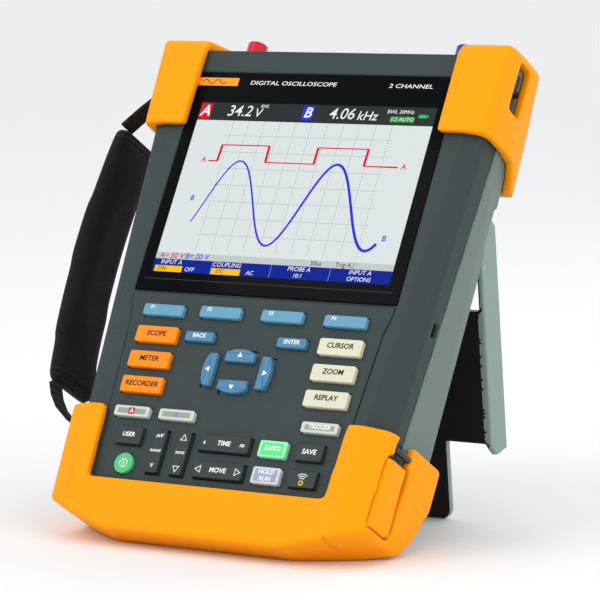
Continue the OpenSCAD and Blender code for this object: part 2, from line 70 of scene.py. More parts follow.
def case_matrix():
    """From the upright case, in metres, to the frame that it leans back in."""
    press = Vector(JOINTS["f1_key_press"]["axis"])
    turn = Matrix.Rotation(math.atan2(press.z, press.y), 4, "X")
    left, right = (Vector(mount(n)["pos_m"]) for n in ("meter_jack_left", "meter_jack_right"))
    return Matrix.Translation((left + right) / 2 - turn @ JACKS_MIDDLE) @ turn


CASE = case_matrix()
UPRIGHT = CASE.inverted()
STAND_OPEN = math.radians(-JOINTS["stand_hinge"]["range_deg"][0])
STAND_PIN = UPRIGHT @ Vector(JOINTS["stand_hinge"]["pos_m"])
STAND = (CASE @ Matrix.Translation(STAND_PIN) @ Matrix.Rotation(STAND_OPEN, 4, "X")
         @ Matrix.Translation(-STAND_PIN))
# the case's lean, as the turn about X that sets an object coordinate upright
LEAN = -math.atan2(CASE.col[1][2], CASE.col[1][1])
# sharp edges below this angle are shaded smooth
SMOOTH_ANGLE = 35
# flat faces of a frame piece that differ by less than this are joined into one
FLAT_ANGLE = math.radians(0.5)


def linear(*levels):
    """A colour in screen levels, 0 to 255, as the linear values that shaders take."""
    return tuple(((v / 255 + 0.055) / 1.055) ** 2.4 if v > 10 else v / 3294.6 for v in levels)


def colour(name, levels):
    return FloatVectorProperty(name=name, description=name + " colour", subtype="COLOR", size=3,
                               min=0, max=1, default=linear(*levels))


def length(name, mm, low=0.0, high=1.0):
    return FloatProperty(name=name, description=name + " in metres", subtype="DISTANCE", unit="LENGTH",
                         default=mm / 1000, min=low, max=high, precision=5)


class ScopeSizes(PropertyGroup):
    """Sizes of the details that the frame leaves plain."""
    shell_voxel: length("Plastic rounding grain", 1.15)
    rubber_voxel: length("Rubber rounding grain", 0.95)
    key_edge: length("Key edge radius", 0.55)
    key_corner: length("Key corner radius", 1.0)
    print_depth: length("Print thickness", 0.03)
    trace_width: length("Trace width", 1.15)
    strap_voxel: length("Strap remesh grain", 4.2)
    strap_swell: length("Most that the strap swells", 2.2)


class ScopeColours(PropertyGroup):
    """Colours of the finishes."""
    body: colour("Front case plastic", (51, 63, 63))
    rear: colour("Rear case plastic", (108, 122, 119))
    stand: colour("Stand plastic", (134, 153, 147))
    # painted shade: a near-black for the stand's faces that look toward the case
    lining: colour("Stand lining", (24, 22, 21))
    rubber: colour("Rubber", (253, 156, 2))
    function_key: colour("Function key", (96, 152, 180))
    arrow_key: colour("Arrow key", (76, 128, 164))
    mode_key: colour("Mode key", (255, 136, 10))
    cursor_key: colour("Cursor key", (212, 210, 186))
    input_key: colour("Input key", (196, 202, 192))
    dark_key: colour("Dark key", (50, 57, 58))
    auto_key: colour("Auto key", (150, 226, 178))
    power_key: colour("Power key", (80, 188, 118))
    hold_key: colour("Hold key", (198, 202, 208))
    strap: colour("Strap fabric", (15, 16, 18))
    picture: colour("Picture background", (222, 229, 229))
    trace_a: colour("Trace A", (226, 18, 44))
    trace_b: colour("Trace B", (32, 52, 226))


def sizes():
    return bpy.context.scene.scope_sizes


def colours():
    return bpy.context.scene.scope_colours


# ---- shaders ----

class Field:
    """A shader socket that can be used in Python expressions."""

    def __init__(self, surface, socket):
        self.surface, self.socket = surface, socket

    def maths(self, operation, *values):
        return self.surface.node("ShaderNodeMath", {"operation": operation}, dict(enumerate(values)))

    def __add__(self, other): return self.maths("ADD", self, other)
    def __radd__(self, other): return self.maths("ADD", other, self)
    def __sub__(self, other): return self.maths("SUBTRACT", self, other)
    def __rsub__(self, other): return self.maths("SUBTRACT", other, self)
    def __mul__(self, other): return self.maths("MULTIPLY", self, other)
    def __rmul__(self, other): return self.maths("MULTIPLY", other, self)
    def __lt__(self, other): return self.maths("LESS_THAN", self, other)
    def __gt__(self, other): return self.maths("GREATER_THAN", self, other)


class Surface:
    """A material with one shader, whose nodes are added by node()."""

    def __init__(self, name, **constants):
        self.material = bpy.data.materials.new(name)
        self.material.use_nodes = True
        self.tree = self.material.node_tree
        self.tree.nodes.clear()
        output = self.tree.nodes.new("ShaderNodeOutputMaterial")
        self.shader = self.tree.nodes.new("ShaderNodeBsdfPrincipled")
        self.tree.links.new(self.shader.outputs[0], output.inputs[0])
        for key, value in constants.items():
            self.shader.inputs[key.replace("_", " ")].default_value = value

    def node(self, kind, settings, values, out=0):
        made = self.tree.nodes.new(kind)
        for key, value in settings.items():
            if key == "stops":
                for stop, (place, shade) in zip(made.color_ramp.elements, value):
                    stop.position, stop.color = place, shade
            else:
                setattr(made, key, value)
        for key, value in values.items():
            self.feed(made.inputs[key], value)
        return Field(self, made.outputs[out])

    def feed(self, socket, value):
        if isinstance(value, Field):
            self.tree.links.new(value.socket, socket)
        else:
            socket.default_value = value

    def drive(self, **inputs):
        for key, value in inputs.items():
            self.feed(self.shader.inputs[key.replace("_", " ")], value)

    def place(self, turn=0.0):
        """Object coordinates, turned about X so that Z runs up the case."""
        at = self.node("ShaderNodeTexCoord", {}, {}, "Object")
        if turn:
            at = self.node("ShaderNodeMapping", {}, {0: at, 2: (turn, 0, 0)})
        return at

    def noise(self, at, size, detail=2.0):
        return self.node("ShaderNodeTexNoise", {}, {0: at, 2: 1 / size, 3: detail})

    def mix(self, factor, first, second):
        return self.node("ShaderNodeMix", {"data_type": "RGBA"}, {0: factor, 6: first, 7: second}, 2)

    def bump(self, height, depth):
        return self.node("ShaderNodeBump", {}, {"Strength": 1.0, "Distance": depth, "Height": height})


def shade(base, factor):
    return tuple(min(1, v * factor) for v in base[:3]) + (1,)


def moulded(name, base, rough=0.5, grain=0.0007, depth=0.00004, mottle=0.09, coat=0.0, shine=0.18):
    """Moulded plastic or rubber: a fine spark texture, with faint cloudy variation and handling marks."""
    s = Surface(name, Coat_Roughness=0.3, Specular_IOR_Level=shine)
    at = s.place()
    cloud = s.noise(at, 0.03, 3)
    speck = s.noise(at, grain, 2)
    rub = s.noise(at, 0.008, 4)
    s.drive(Base_Color=s.mix(cloud * 0.7 + speck * 0.3, shade(base, 1 - mottle), shade(base, 1 + mottle)),
            Roughness=rough - 0.08 + cloud * 0.1 + rub * 0.08,
            Normal=s.bump(speck + rub * 0.4, depth), Coat_Weight=coat)
    return s.material


def metal(name, base, rough=0.3):
    s = Surface(name, Metallic=1.0)
    at = s.place()
    grain = s.noise(s.node("ShaderNodeMapping", {}, {0: at, 3: (1, 1, 12)}), 0.004, 4)
    s.drive(Base_Color=s.mix(grain, shade(base, 0.85), shade(base, 1.08)), Roughness=rough + grain * 0.15,
            Normal=s.bump(grain, 0.00002))
    return s.material


def woven(name, base, pitch, ribs=0.0, tint=1.0):
    """Woven cloth: threads over and under, with a soft fuzz."""
    base = shade(base, tint)
    s = Surface(name, Sheen_Weight=0.06, Sheen_Roughness=0.5, Roughness=0.9, Specular_IOR_Level=0.15)
    at = s.place(LEAN)
    part = s.node("ShaderNodeSeparateXYZ", {}, {0: at})
    x, y, z = (Field(s, o) for o in part.socket.node.outputs)
    across = (y + x) * (math.tau / pitch)
    along = z * (math.tau / pitch)
    weave = across.maths("SINE", across) * along.maths("SINE", along)
    if ribs:
        weave = weave + along.maths("SINE", z * (math.tau / ribs)) * 1.5
    fuzz = s.noise(at, pitch * 0.6, 3)
    wear = s.noise(at, 0.02, 3)
    s.drive(Base_Color=s.mix(wear * 0.6 + fuzz * 0.4, shade(base, 0.7), shade(base, 1.7)),
            Roughness=0.8 + fuzz * 0.15, Normal=s.bump(weave + fuzz, pitch * 0.12))
    return s.material


def glowing(name):
    """A surface that only shows its own light, with a faint gloss."""
    return Surface(name, Roughness=0.25, Emission_Strength=1.0, Base_Color=(0.002, 0.002, 0.002, 1),
                   Specular_IOR_Level=0.03)


def lit(name, base):
    """A lit part of the picture, behind the window."""
    s = glowing(name)
    cell = s.noise(s.place(), 0.0012, 1)
    s.drive(Emission_Color=s.mix(cell, shade(base, 0.97), shade(base, 1.03)))
    return s.material


def graticule(name, base):
    """The picture's background with its dotted lines, from a UV map that counts divisions."""
    s = glowing(name)
    at = s.node("ShaderNodeUVMap", {"uv_map": "UVMap"}, {})
    part = s.node("ShaderNodeSeparateXYZ", {}, {0: at})
    x, y = (Field(s, o) for o in part.socket.node.outputs[:2])

    def lines(a, b):
        line = (a + 0.5).maths("FRACT", a + 0.5).maths("PINGPONG", a, 0.5) < 0.022
        dots = (b * 6).maths("PINGPONG", b * 6, 0.5) < 0.17
        return line * dots

    dots = lines(x, y).maths("MAXIMUM", lines(x, y), lines(y, x))
    inside = (y > 0.02) * (y < 7.98) * (x > 0.7) * (x < 11.3)
    s.drive(Emission_Color=s.mix(dots * inside, shade(base, 1), linear(120, 130, 134) + (1,)))
    return s.material


# each finish: its maker, its material's name, a colour setting or screen levels, and the maker's settings
GLOSS_KEY, SATIN_KEY = dict(rough=0.38, coat=0.04), dict(rough=0.42, coat=0.02)
RECIPES = {
    "dark_plastic": (moulded, "front case plastic", "body"),
    "grey_plastic": (moulded, "rear case plastic", "rear"),
    "stand_plastic": (moulded, "stand plastic", "stand"),
    # painted shade: the near-black that the stand's faces toward the case are given
    "stand_lining": (moulded, "stand lining", "lining", dict(rough=0.7, mottle=0.2)),
    "orange_rubber": (moulded, "orange rubber", "rubber",
                      dict(grain=0.0011, depth=0.00002, mottle=0.035, shine=0.1)),
    "seal_rubber": (moulded, "seal rubber", (30, 32, 32), dict(rough=0.75)),
    "window_black": (moulded, "window", (9, 10, 13),
                     dict(rough=0.14, grain=0.004, depth=0.000001, mottle=0.02, shine=0.03)),
    "screen": (moulded, "screen glass", (60, 66, 66), dict(rough=0.2)),
    "plain_steel": (metal, "plain steel", (176, 180, 182), dict(rough=0.35)),
    # painted shade: steel darkened for the strap bars, which show in the shaded bumper notch
    "dark_steel": (metal, "dark steel", (74, 78, 80)),
    "plated_steel": (metal, "plated steel", (205, 206, 206), dict(rough=0.18)),
    "gold": (metal, "gold contact", (226, 178, 84), dict(rough=0.2)),
    "circuit_board": (moulded, "circuit board", (28, 92, 52), dict(rough=0.35, grain=0.003, mottle=0.25)),
    "black_plastic": (moulded, "black plastic", (30, 33, 34)),
    "pocket_black": (moulded, "pocket plastic", (52, 58, 60), dict(rough=0.55)),
    "red_plastic": (moulded, "red socket plastic", (214, 22, 48), dict(rough=0.3, coat=0.2)),
    "blue_plastic": (moulded, "blue socket plastic", (28, 62, 172), dict(rough=0.3, coat=0.2)),
    "strap_fabric": (woven, "strap fabric", "strap", dict(pitch=0.0011)),
    "webbing": (woven, "strap webbing", "strap", dict(pitch=0.0016, ribs=0.0032)),
    "binding": (woven, "strap binding", "strap", dict(pitch=0.0022, ribs=0.0026, tint=1.3)),
    "key_blue": (moulded, "function key", "function_key", SATIN_KEY),
    "key_steel_blue": (moulded, "arrow key", "arrow_key", SATIN_KEY),
    "key_orange": (moulded, "mode key", "mode_key", dict(SATIN_KEY, mottle=0.04)),
    "key_cream": (moulded, "cursor key", "cursor_key", dict(rough=0.45, mottle=0.05, coat=0.02)),
    "key_pale": (moulded, "input key", "input_key", dict(rough=0.35, mottle=0.12, coat=0.04)),
    "key_dark": (moulded, "dark key", "dark_key", dict(rough=0.45, coat=0.02)),
    "key_green": (moulded, "auto key", "auto_key", dict(GLOSS_KEY, mottle=0.05)),
    "key_power": (moulded, "power key", "power_key", dict(GLOSS_KEY, mottle=0.06)),
    "key_lilac": (moulded, "hold key", "hold_key", dict(GLOSS_KEY, mottle=0.06)),
    "print_white": (moulded, "white print", (240, 243, 241), dict(mottle=0.02)),
    "print_cream": (moulded, "insulator", (222, 216, 196), dict(rough=0.4, mottle=0.03)),
    "print_dark": (moulded, "dark print", (20, 22, 22), dict(mottle=0.02)),
    "print_red": (moulded, "red print", (200, 20, 50), dict(mottle=0.02)),
    "print_blue": (moulded, "blue print", (70, 130, 235), dict(mottle=0.02)),
    "print_yellow": (moulded, "yellow print", (240, 196, 20), dict(mottle=0.02)),
    "print_orange": (moulded, "orange plate", (250, 150, 20), dict(rough=0.4, mottle=0.03)),
    "inset_grey": (moulded, "grey inset", (146, 152, 143), dict(rough=0.4, grain=0.0004, mottle=0.15)),
    "inset_green": (moulded, "green inset", (84, 222, 134), dict(rough=0.4, mottle=0.05)),
    "inset_lilac": (moulded, "lilac inset", (150, 155, 186), dict(rough=0.4, mottle=0.05)),
    "lit_picture": (graticule, "picture background", "picture"),
    "lit_strip": (lit, "picture strip", (196, 203, 203)),
    "lit_header": (lit, "picture header", (42, 48, 50)),
    "lit_bar": (lit, "soft key bar", (0, 32, 148)),
    "lit_rule": (lit, "soft key rule", (120, 140, 210)),
    "lit_highlight": (lit, "chosen soft key", (255, 196, 22)),
    "lit_red": (lit, "trace A", "trace_a"),
    "lit_blue": (lit, "trace B", "trace_b"),
    "lit_white": (lit, "light writing", (240, 244, 244)),
    "lit_black": (lit, "dark writing", (28, 32, 34)),
    "lit_leaf": (lit, "battery sign", (50, 200, 80)),
    "lit_green": (lit, "green mark", (30, 150, 50)),
    "floor": (moulded, "floor", (236, 237, 238), dict(rough=0.7, grain=0.02, depth=0.00001, mottle=0.004)),
}
FINISHES = {}


def finish(name):
    """The named finish, made the first time it is asked for."""
    if name not in FINISHES:
        maker, label, base, *settings = RECIPES[name]
        base = getattr(colours(), base) if isinstance(base, str) else linear(*base)
        FINISHES[name] = maker(label, base, **dict(*settings))
    return FINISHES[name]


# ---- modelling helpers; pieces are made in the upright case's frame ----


def start():
    if bpy.context.object and bpy.context.object.mode != "OBJECT":
        bpy.ops.object.mode_set(mode="OBJECT")
    bpy.ops.object.select_all(action="DESELECT")


def choose(*objects):
    start()
    for o in objects:
        o.select_set(True)
    bpy.context.view_layer.objects.active = objects[0]
    return objects[0]


def named(name, finish_name=None):
    obj = bpy.context.object
    obj.name = obj.data.name = name
    bpy.ops.object.transform_apply(location=True, rotation=True, scale=True)
    if finish_name:
        obj.data.materials.append(finish(finish_name))
    return obj


def block(name, low, high, finish_name=None):
    start()
    low, high = Vector(low), Vector(high)
    bpy.ops.mesh.primitive_cube_add(size=1, location=(low + high) / 2, scale=high - low)
    return named(name, finish_name)


def rod(name, centre, radius, depth, axis="Z", finish_name=None, sides=48):
    start()
    turn = {"X": (0, math.pi / 2, 0), "Y": (math.pi / 2, 0, 0), "Z": (0, 0, 0)}[axis]
    bpy.ops.mesh.primitive_cylinder_add(vertices=sides, radius=radius, depth=depth, location=centre,
                                        rotation=turn)
    return named(name, finish_name)


def pick(obj, kind, test):
    """Edit mode, with only the vertices, edges or faces chosen that pass the test."""
    choose(obj)
    bpy.ops.object.mode_set(mode="EDIT")
    bpy.ops.mesh.select_mode(type=kind)
    bpy.ops.mesh.select_all(action="DESELECT")
    mesh = bmesh.from_edit_mesh(obj.data)
    for item in {"VERT": mesh.verts, "EDGE": mesh.edges, "FACE": mesh.faces}[kind]:
        if test(item):
            item.select_set(True)
    bmesh.update_edit_mesh(obj.data)


def done():
    bpy.ops.object.mode_set(mode="OBJECT")


def middle(item):
    return sum((v.co for v in item.verts), Vector()) / len(item.verts)


def soften(obj, width, segments=3, test=lambda e: True):
    pick(obj, "EDGE", lambda e: test(e) and e.calc_face_angle(0) > 0.3)
    bpy.ops.mesh.bevel(offset=width, segments=segments, profile=0.5, affect="EDGES", clamp_overlap=True)
    done()
    return obj


def modify(obj, kind, **settings):
    choose(obj)
    modifier = obj.modifiers.new(kind.lower(), kind)
    for key, value in settings.items():
        setattr(modifier, key, value)
    bpy.ops.object.modifier_apply(modifier=modifier.name)
    return obj


def join(first, *others):
    choose(first, *others)
    bpy.ops.object.join()
    return first


def settle(obj, body, *nodes, slot=None, matrix=None, angle=SMOOTH_ANGLE):
    """Leans the finished piece back with the case and hangs it on its body."""
    start()
    obj.data.transform(matrix or CASE)
    choose(obj)
    bpy.ops.object.shade_smooth_by_angle(angle=math.radians(angle))
    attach(obj, body)
    if nodes:
        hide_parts(*nodes)
    return obj


def coat(obj, *finish_names):
    """Gives a piece these finishes and no others."""
    obj.data.materials.clear()
    for name in finish_names:
        obj.data.materials.append(finish(name))
    return obj


def copy_of(node, name, back=UPRIGHT):
    """A merged copy of a CAD node's mesh, stood upright."""
    start()
    mesh = NODES[node].data.copy()
    mesh.materials.clear()
    mesh.transform(back)
    obj = bpy.data.objects.new(name, mesh)
    bpy.context.scene.collection.objects.link(obj)
    mesh.name = name
    pick(obj, "FACE", lambda f: True)
    bpy.ops.mesh.remove_doubles(threshold=0.00001)
    done()
    return obj


def cast(node, name, voxel, passes, *finish_names, back=UPRIGHT):
    """A copy of a CAD node with its edges rounded as a moulding's are."""
    obj = choose(copy_of(node, name, back))
    obj.data.remesh_voxel_size = voxel
    bpy.ops.object.voxel_remesh()
    pick(obj, "VERT", lambda v: True)
    bpy.ops.mesh.vertices_smooth(factor=0.5, repeat=passes)
    done()
    return coat(obj, *finish_names)


def unfaceted(node, name, finish_name):
    """A copy of a CAD node with its flat facets joined up."""
    obj = copy_of(node, name)
    pick(obj, "FACE", lambda f: True)
    bpy.ops.mesh.dissolve_limited(angle_limit=FLAT_ANGLE)
    done()
    return coat(obj, finish_name)


def bevelled_copy(node, name, finish_name, width=0.0006, body="main_body"):
    """A copy of a CAD node with its sharp edges rounded."""
    obj = unfaceted(node, name, finish_name)
    modify(obj, "BEVEL", width=width, segments=2, limit_method="ANGLE", angle_limit=math.radians(40),
           use_clamp_overlap=True, harden_normals=False)
    modify(obj, "TRIANGULATE", min_vertices=5)
    return settle(obj, body, node)


def node_box(node, test=lambda v: True, back=UPRIGHT):
    """Lowest and highest corner of a CAD node's points in the upright case's frame."""
    points = [p for p in (back @ v.co for v in NODES[node].data.vertices) if test(p)]
    return (Vector(min(p[i] for p in points) for i in range(3)),
            Vector(max(p[i] for p in points) for i in range(3)))


def facing(x, y, z):
    """From a flat drawing to its place on a face that looks forwards."""
    return Matrix.Translation((x, y, z)) @ Matrix.Rotation(math.pi / 2, 4, "X")


# the height of a letter, as a share of the size that its font is set to
LETTER_HEIGHT = 1 / 1.4


def writing(text, size, x, z, y, finish_name, slant=0.0, bold=0.0, squeeze=1.0):
    """Flat generic lettering on a face that looks forwards."""
    start()
    bpy.ops.object.text_add()
    obj = bpy.context.object
    obj.data.body = text
    obj.data.size = size / LETTER_HEIGHT
    obj.data.shear = slant
    obj.data.offset = bold * size
    obj.data.align_x = "CENTER"
    obj.data.align_y = "CENTER"
    obj.data.extrude = sizes().print_depth / 2
    obj.data.resolution_u = 3
    bpy.ops.object.convert(target="MESH")
    obj = bpy.context.object
    obj.data.transform(facing(x, y, z) @ Matrix.Diagonal((squeeze, 1, 1, 1)))
    return coat(obj, finish_name)


def polygon(sides, radius, x, z, y, finish_name, turn=0.0, outline=0.0):
    """A flat regular figure, whole or as an outline, on a face that looks forwards."""
    start()
    bpy.ops.mesh.primitive_circle_add(vertices=sides, radius=radius, fill_type="NGON")
    obj = bpy.context.object
    if outline:
        pick(obj, "FACE", lambda f: True)
        bpy.ops.mesh.inset(thickness=outline)
        bpy.ops.mesh.delete(type="FACE")
        done()
    obj.data.transform(facing(x, y, z) @ Matrix.Rotation(turn, 4, "Z"))
    modify(obj, "SOLIDIFY", thickness=sizes().print_depth, offset=0)
    return coat(obj, finish_name)


def tile(name, x, z, y, finish_name):
    """A thin flat rectangle on a face that looks forwards."""
    depth = sizes().print_depth / 2
    return block(name, (x[0], y - depth, z[0]), (x[1], y + depth, z[1]), finish_name)


# how thick a drawn line is, against its width
RIBBON_FLATNESS = 0.05


def ribbon(name, points, width, y, finish_name):
    """A flat line through (x, z, scale) points on a face that looks forwards."""
    start()
    curve = bpy.data.curves.new(name, "CURVE")
    curve.dimensions = "3D"
    spline = curve.splines.new("POLY")
    spline.points.add(len(points) - 1)
    for point, (x, z, scale) in zip(spline.points, points):
        point.co = (x, y, z, 1)
        point.radius = scale
    curve.bevel_depth = width / 2
    curve.bevel_resolution = 1
    obj = bpy.data.objects.new(name, curve)
    bpy.context.scene.collection.objects.link(obj)
    choose(obj)
    bpy.ops.object.convert(target="MESH")
    obj = bpy.context.object
    obj.data.transform(Matrix.Translation((0, y, 0)) @ Matrix.Diagonal((1, RIBBON_FLATNESS, 1, 1))
                       @ Matrix.Translation((0, -y, 0)))
    return coat(obj, finish_name)


def mm(*values):
    return tuple(v / 1000 for v in values)


# ---- the case ----

# the case screws' places on one side, X and Z
SCREW_PLACES = mm(60, 55), mm(66, -4), mm(70, -58)


class SCOPE_OT_shells(Operator):
    """Front and rear shells, the socket tray and the screws"""
    bl_idname = "scope.shells"
    bl_label = "Outer shells"

    def execute(self, context):
        for node, name, finish_name in (("front_shell", "front_case", "dark_plastic"),
                                        ("rear_shell", "rear_case", "grey_plastic")):
            obj = cast(node, name, sizes().shell_voxel, 2, finish_name)
            modify(obj, "DECIMATE", ratio=0.4)
            settle(obj, "main_body", node, angle=28)
        bevelled_copy("connector_panel", "socket_tray", "dark_plastic", 0.0004)
        self.screws()
        return {"FINISHED"}

    def screws(self):
        high = node_box("case_screws")[1]
        heads = []
        for side in (-1, 1):
            for x, z in SCREW_PLACES:
                at = (side * x, high.y - 0.0007, z)
                head = rod("case_screw", at, 0.0031, 0.0014, "Y", "plain_steel", 32)
                pick(head, "FACE", lambda f: f.normal.y > 0.9)
                bpy.ops.mesh.inset(thickness=0.0014)
                bpy.ops.transform.translate(value=(0, -0.0008, 0))
                done()
                soften(head, 0.0002, 2, lambda e: middle(e).y > high.y - 0.0003)
                heads.append(head)
        settle(join(*heads), "main_body", "case_screws")


# ---- the rubber ----

class SCOPE_OT_rubber(Operator):
    """Bumper, the two upper guards and the dust flap"""
    bl_idname = "scope.rubber"
    bl_label = "Rubber"

    def execute(self, context):
        grain = sizes().rubber_voxel
        for node, name, voxel, passes, body in (
                ("bottom_bumper", "bumper", grain, 12, "main_body"),
                ("left_guard", "guard_left", grain, 9, "main_body"),
                ("right_guard", "guard_right", grain, 9, "main_body"),
                ("port_flap", "dust_flap", grain * 0.6, 2, "port_flap")):
            obj = cast(node, name, voxel, passes, "orange_rubber")
            modify(obj, "DECIMATE", ratio=0.35)
            settle(obj, body, node, angle=60)
        self.slot_insert()
        return {"FINISHED"}

    def slot_insert(self):
        """The ribbed strap pocket that shows in the right guard's slot."""
        x = node_box("right_guard")[1].x - 0.0085
        back = block("strap_pocket", (x - 0.001, 0.0102, 0.0945), (x, 0.0218, 0.1205), "pocket_black")
        ribs = []
        for i in range(7):
            z = 0.098 + i * 0.0034
            ribs.append(soften(block("pocket_rib", (x - 0.0002, 0.0106, z), (x + 0.0012, 0.0214, z + 0.0014),
                                     "pocket_black"), 0.0004, 2))
        settle(join(soften(back, 0.0003, 2), *ribs), "main_body", slot="black_plastic")


# ---- the display ----

# the lit picture's field: its X span and its Z span
FIELD = (-0.0634, 0.0634), (0.0067, 0.079)
# the graticule: its lower left corner and the size of a division
GRATICULE_CORNER, DIVISION = Vector((-0.0514, 0.0114)), 0.00855
# each thin layer of the picture lies this much nearer than the one behind it
LAYER = 0.00002
# tiles of the picture: name, X span, Z span, layers forward, finish
TILES = (
    ("header", (-63.4, 63.4), (79, 88.4), 1, "lit_header"),
    ("strip", (-63.4, 63.4), (6.7, 10), 2, "lit_strip"),
    ("bar", (-63.4, 63.4), (0.1, 6.7), 2, "lit_bar"),
    ("mark", (-62.2, -47.2), (0.2, 3.3), 3, "lit_highlight"),
    ("mark", (-31.2, -15.6), (0.2, 3.3), 3, "lit_highlight"),
    ("box", (-63.2, -57), (79.7, 87.8), 2, "lit_red"),
    ("box", (-6.8, -1), (80.3, 87.8), 2, "lit_blue"),
    ("box", (40.3, 53), (80.5, 83.5), 2, "lit_green"),
    ("battery", (54.9, 59.3), (83, 84.7), 2, "lit_leaf"),
    ("battery", (59.3, 59.9), (83.4, 84.3), 2, "lit_leaf"),
    ("battery", (58.5, 59), (83.25, 84.45), 3, "lit_header"),
    ("rule", (-31.65, -31.35), (0.2, 6.6), 3, "lit_rule"),
    ("rule", (0.15, 0.45), (0.2, 6.6), 3, "lit_rule"),
    ("rule", (31.35, 31.65), (0.2, 6.6), 3, "lit_rule"),
    ("rim", (-66.4, 66.4), (-3.6, -3.35), 1, "pocket_black"),
)
# read-outs: height, slant and boldness, then each one's words, X, Z and finish
READ_OUTS = (
    (5.6, 0.2, 0.03, (("A", -60.1, 83.7, "lit_white"),)),
    (5.2, 0.2, 0.03, (("B", -3.9, 84, "lit_white"),)),
    (5.7, 0.18, 0.004, (("34.2", -41.2, 83.9, "lit_white"), ("4.06", 14.4, 83.9, "lit_white"))),
    (4.6, 0.18, 0.004, (("V", -31, 83.2, "lit_white"),)),
    (4.7, 0.18, 0.004, (("kHz", 28, 83.2, "lit_white"),)),
    (1.7, 0.1, 0, (("RMS", -28.2, 86.8, "lit_white"),)),
    (1.9, 0.15, 0, (("BWL 20MHz", 44.9, 85.8, "lit_white"),)),
    (2.0, 0.15, 0, (("1/2 AUTO", 46.6, 82, "lit_white"),)),
    (2.8, 0.15, 0.01, (("A= 50 V", -54.8, 8.4, "lit_red"), ("B= 20 V", -41, 8.4, "lit_blue"))),
    (2.3, 0.12, 0.005, (("50us", 22.9, 8.4, "lit_black"), ("Trig A", 37.2, 8.4, "lit_black"))),
    (2.2, 0.15, 0, (("INPUT A", -54, 5.1, "lit_white"), ("COUPLING", -23.6, 5.1, "lit_white"),
                    ("PROBE A", 15, 5.1, "lit_white"), ("INPUT A", 47, 5.1, "lit_white"))),
    (2.1, 0.15, 0, (("ON", -58.4, 1.8, "lit_black"), ("OFF", -43.2, 1.8, "lit_white"),
                    ("DC", -26.6, 1.8, "lit_black"), ("AC", -10.4, 1.8, "lit_white"),
                    ("10:1", 15, 1.8, "lit_white"), ("OPTIONS", 47, 1.8, "lit_white"))))
# trace A's corners, X and Z
SQUARE = ((-50.3, 57.8), (-45.5, 57.8), (-45.1, 66.2), (-19.3, 66.4), (-19.1, 57.9), (7, 57.9),
          (7.1, 66.3), (33.8, 66.4), (33.6, 57.8), (51.3, 57.8))
# trace B: its steps, its left end and width, and its middle height, amplitude, crest and wavelength
WAVE_STEPS, WAVE_START, WAVE_WIDTH = 60, -50.2, 101.3
WAVE_MIDDLE, WAVE_HEIGHT, WAVE_CREST, WAVE_PITCH = 37, 21.2, -32.6, 52.4


class SCOPE_OT_display(Operator):
    """Window, with the lit picture and its generic read-outs just behind its face"""
    bl_idname = "scope.display"
    bl_label = "Display"

    def execute(self, context):
        low, high = node_box("display_window")
        settle(soften(block("window", low, high, "window_black"), 0.0004), "main_body", "display_window")
        for name, parts in (("picture", self.panels(low.y)),
                            ("read_outs", self.words(low.y - 4 * LAYER)),
                            ("traces", self.traces(low.y - 3 * LAYER)),
                            ("nameplate", self.nameplate())):
            obj = join(*parts)
            obj.name = obj.data.name = name
            settle(obj, "main_body", slot="screen")
        return {"FINISHED"}

    def panels(self, y):
        field = tile("picture", *FIELD, y - LAYER, "lit_picture")
        pick(field, "FACE", lambda f: True)
        bpy.ops.uv.cube_project(cube_size=1)
        done()
        uv = field.data.uv_layers.active.data
        for loop in field.data.loops:
            at = field.data.vertices[loop.vertex_index].co
            uv[loop.index].uv = (Vector((at.x, at.z)) - GRATICULE_CORNER) / DIVISION
        return [field] + [tile(name, mm(*x), mm(*z), y - layers * LAYER, shade_name)
                          for name, x, z, layers, shade_name in TILES]

    def words(self, y):
        words = [writing(text, size / 1000, x / 1000, z / 1000, y, shade_name, slant, bold)
                 for size, slant, bold, entries in READ_OUTS for text, x, z, shade_name in entries]
        edge = mm(41.4, 7.4), mm(42.6, 7.4), mm(42.6, 9.4), mm(43.8, 9.4)
        return words + [ribbon("edge_sign", [(*p, 1) for p in edge], 0.0003, y, "lit_black")]

    def traces(self, y):
        wide = sizes().trace_width
        wave = []
        for i in range(WAVE_STEPS + 1):
            x = WAVE_START + i * WAVE_WIDTH / WAVE_STEPS
            height = WAVE_MIDDLE + WAVE_HEIGHT * math.cos((x - WAVE_CREST) * math.tau / WAVE_PITCH)
            wave.append((x / 1000, height / 1000, 0.75 + 0.95 * i / WAVE_STEPS))
        parts = [ribbon("trace_b", wave, wide * 0.9, y, "lit_blue"),
                 ribbon("trace_a", [(*mm(*at), 0.85) for at in SQUARE], wide, y - 2 * LAYER, "lit_red")]
        for ends in zip(SQUARE[1:-1:2], SQUARE[2::2]):
            parts.append(ribbon("rise", [(*mm(*at), 1.35) for at in ends], wide, y - 3 * LAYER, "lit_red"))
        for text, shade_name, places in (("A", "lit_red", ((-53.2, 58.2), (54.2, 58.2))),
                                         ("B", "lit_blue", ((-53.2, 38.2), (54.2, 22.4)))):
            parts += [writing(text, 0.0028, *mm(*at), y, shade_name, 0.1, 0.02) for at in places]
        return parts

    def nameplate(self):
        y = node_box("front_shell")[0].y - 3 * LAYER
        plate = tile("nameplate", mm(-69.9, -46.7), mm(97.2, 101.4), y, "print_orange")
        wave = [(-0.0665 + i * 0.00041, 0.0993 + 0.0011 * math.sin(i * math.tau / 16), 1) for i in range(33)]
        mark = ribbon("wave_mark", wave, 0.0005, y - 2 * LAYER, "print_dark")
        words = [writing(text, 0.0021, x, 0.0990, y, "print_white", 0.12, squeeze=1.45)
                 for text, x in (("DIGITAL OSCILLOSCOPE", -0.0165), ("2 CHANNEL", 0.0465))]
        return [soften(plate, 0.000005, 1), mark] + words


# ---- the keypad ----

